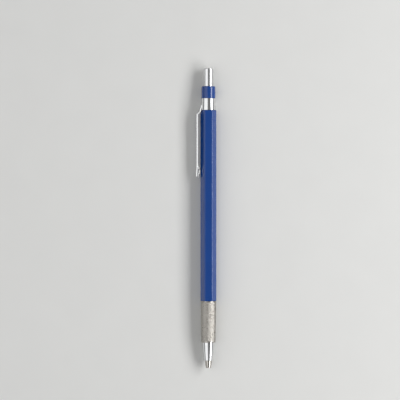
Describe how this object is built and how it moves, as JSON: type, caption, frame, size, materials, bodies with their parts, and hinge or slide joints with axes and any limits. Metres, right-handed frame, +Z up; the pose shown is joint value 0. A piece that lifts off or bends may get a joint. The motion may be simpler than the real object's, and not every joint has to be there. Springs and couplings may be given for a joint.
{
  "type": "lead holder",
  "caption": "Clutch lead holder for 2 mm leads: hexagonal blue barrel, knurled metal grip, polished nose cone with spring collet jaws, pocket clip and a push button with a lead pointer inside.",
  "frame": {"origin": "on the axis, at the middle of the 4 mm that the closed jaws hold of the lead", "axes": "+Y along the axis to the push button, +Z up with one barrel flat facing down, the pocket clip on the -X side"},
  "size_m": [0.0104, 0.153, 0.008],
  "materials": {
    "blue_plastic": "smooth moulded deep blue, glossy",
    "knurled_metal": "finely cross-knurled, satin",
    "chrome_plate": "polished plate",
    "jaw_metal": "plated brass, polished",
    "turned_brass": "as turned",
    "spring_steel": "drawn, bright",
    "tool_steel": "hardened and ground",
    "graphite": "dark grey with a faint sheen"
  },
  "bodies": {
    "holder": {"barrel": "blue_plastic", "front_ferrule": "turned_brass", "grip_sleeve": "knurled_metal", "nose_cone": "chrome_plate", "rear_collar": "blue_plastic", "clip_ring": "chrome_plate", "spring_seat": "spring_steel", "return_spring": "spring_steel"},
    "clutch": {"lead_tube": "turned_brass", "collet_body": "jaw_metal", "thrust_collar": "turned_brass", "tail_ferrule": "turned_brass", "friction_ring": "spring_steel"},
    "jaw_1": {"collet_jaw_1": "jaw_metal"},
    "jaw_2": {"collet_jaw_2": "jaw_metal"},
    "jaw_3": {"collet_jaw_3": "jaw_metal"},
    "button": {"push_button": "chrome_plate", "pointer_body": "turned_brass", "pointer_blades": "tool_steel"},
    "lead": {"lead": "graphite"},
    "clip": {"clip_arm": "chrome_plate"}
  },
  "joints": [
    {"name": "button_press", "type": "slide", "parent": "holder", "child": "clutch", "axis": [0, -1, 0], "range_m": [0, 0.004], "stiffness_N_per_m": 300, "springref_m": -0.002, "deforming": ["return_spring"]},
    {"name": "jaw_1_open", "type": "hinge", "parent": "clutch", "child": "jaw_1", "pos_m": [0.00108, 0.01, 0.00063], "axis": [-0.5, 0, 0.866], "range_deg": [0, 2.6]},
    {"name": "jaw_2_open", "type": "hinge", "parent": "clutch", "child": "jaw_2", "pos_m": [-0.00108, 0.01, 0.00063], "axis": [-0.5, 0, -0.866], "range_deg": [0, 2.6]},
    {"name": "jaw_3_open", "type": "hinge", "parent": "clutch", "child": "jaw_3", "pos_m": [0, 0.01, -0.00125], "axis": [1, 0, 0], "range_deg": [0, 2.6]},
    {"name": "button_pull_off", "type": "slide", "parent": "clutch", "child": "button", "axis": [0, 1, 0], "range_m": [0, 0.014]},
    {"name": "lead_feed", "type": "slide", "parent": "clutch", "child": "lead", "axis": [0, -1, 0], "range_m": [0, 0.018]},
    {"name": "clip_flex", "type": "hinge", "parent": "holder", "child": "clip", "pos_m": [-0.00435, 0.1296, 0], "axis": [0, 0, -1], "range_deg": [0, 5], "stiffness_Nm_per_rad": 0.4}
  ],
  "couplings": [
    {"joint": "jaw_1_open", "follows": "button_press", "rad_per_m": 11.34},
    {"joint": "jaw_2_open", "follows": "button_press", "rad_per_m": 11.34},
    {"joint": "jaw_3_open", "follows": "button_press", "rad_per_m": 11.34}
  ]
}
